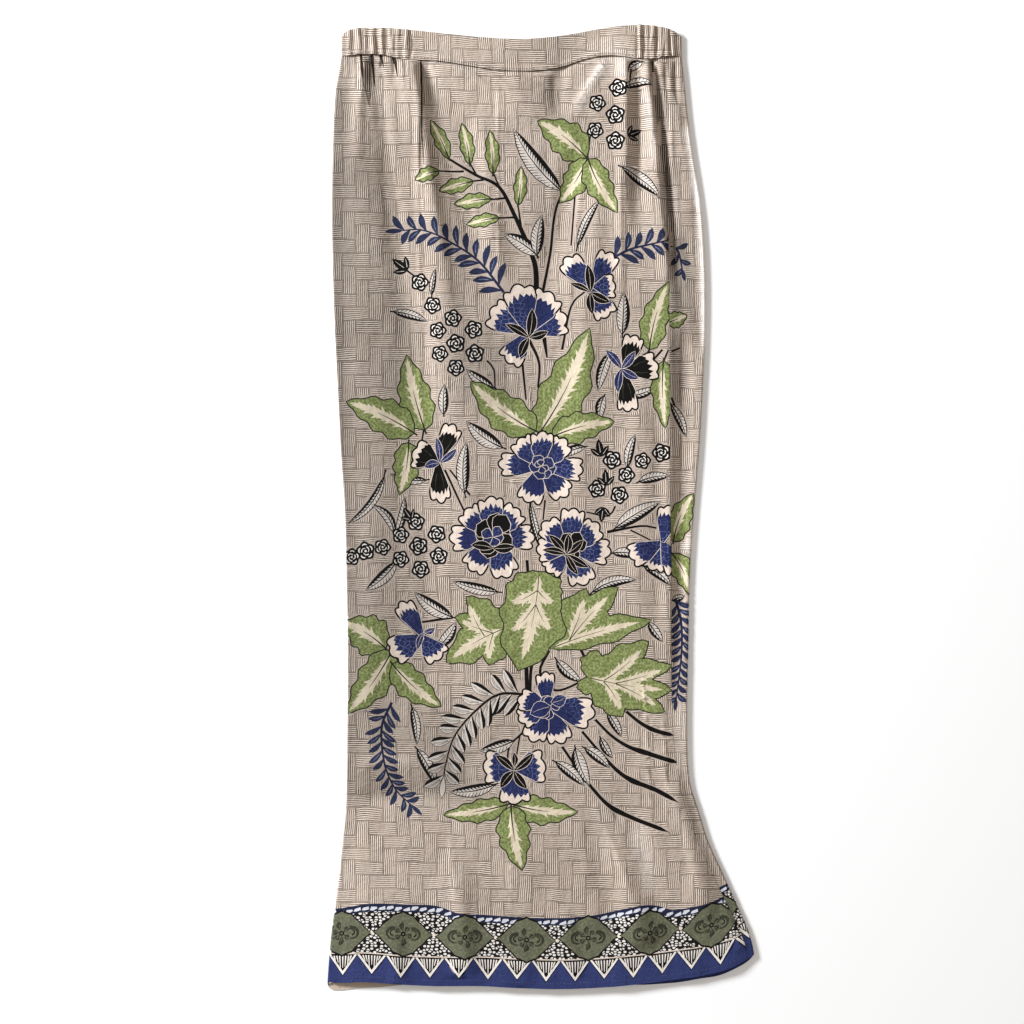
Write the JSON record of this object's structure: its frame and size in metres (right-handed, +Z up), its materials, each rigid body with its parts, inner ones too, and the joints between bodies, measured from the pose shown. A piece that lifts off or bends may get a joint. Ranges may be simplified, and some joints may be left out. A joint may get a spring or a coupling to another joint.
{
  "type": "batik skirt",
  "caption": "Long straight batik tube skirt of printed cotton with a partly elasticated waistband, laid flat on its back",
  "frame": {"origin": "on the surface the skirt lies on, under the middle of its box", "axes": "+Z up out of the skirt's front, +Y from hem to waist, +X to the right as seen from above the front"},
  "size_m": [0.4262, 0.9642, 0.011],
  "materials": {
    "printed_cotton": "matt plain-weave cotton, batik print dyed into the front",
    "band_cotton": "the same cotton, doubled over interfacing or elastic"
  },
  "bodies": {
    "root": {"front_panel": "printed_cotton", "back_panel": "printed_cotton", "waistband_front": "band_cotton", "waistband_elastic": "band_cotton"}
  },
  "joints": []
}
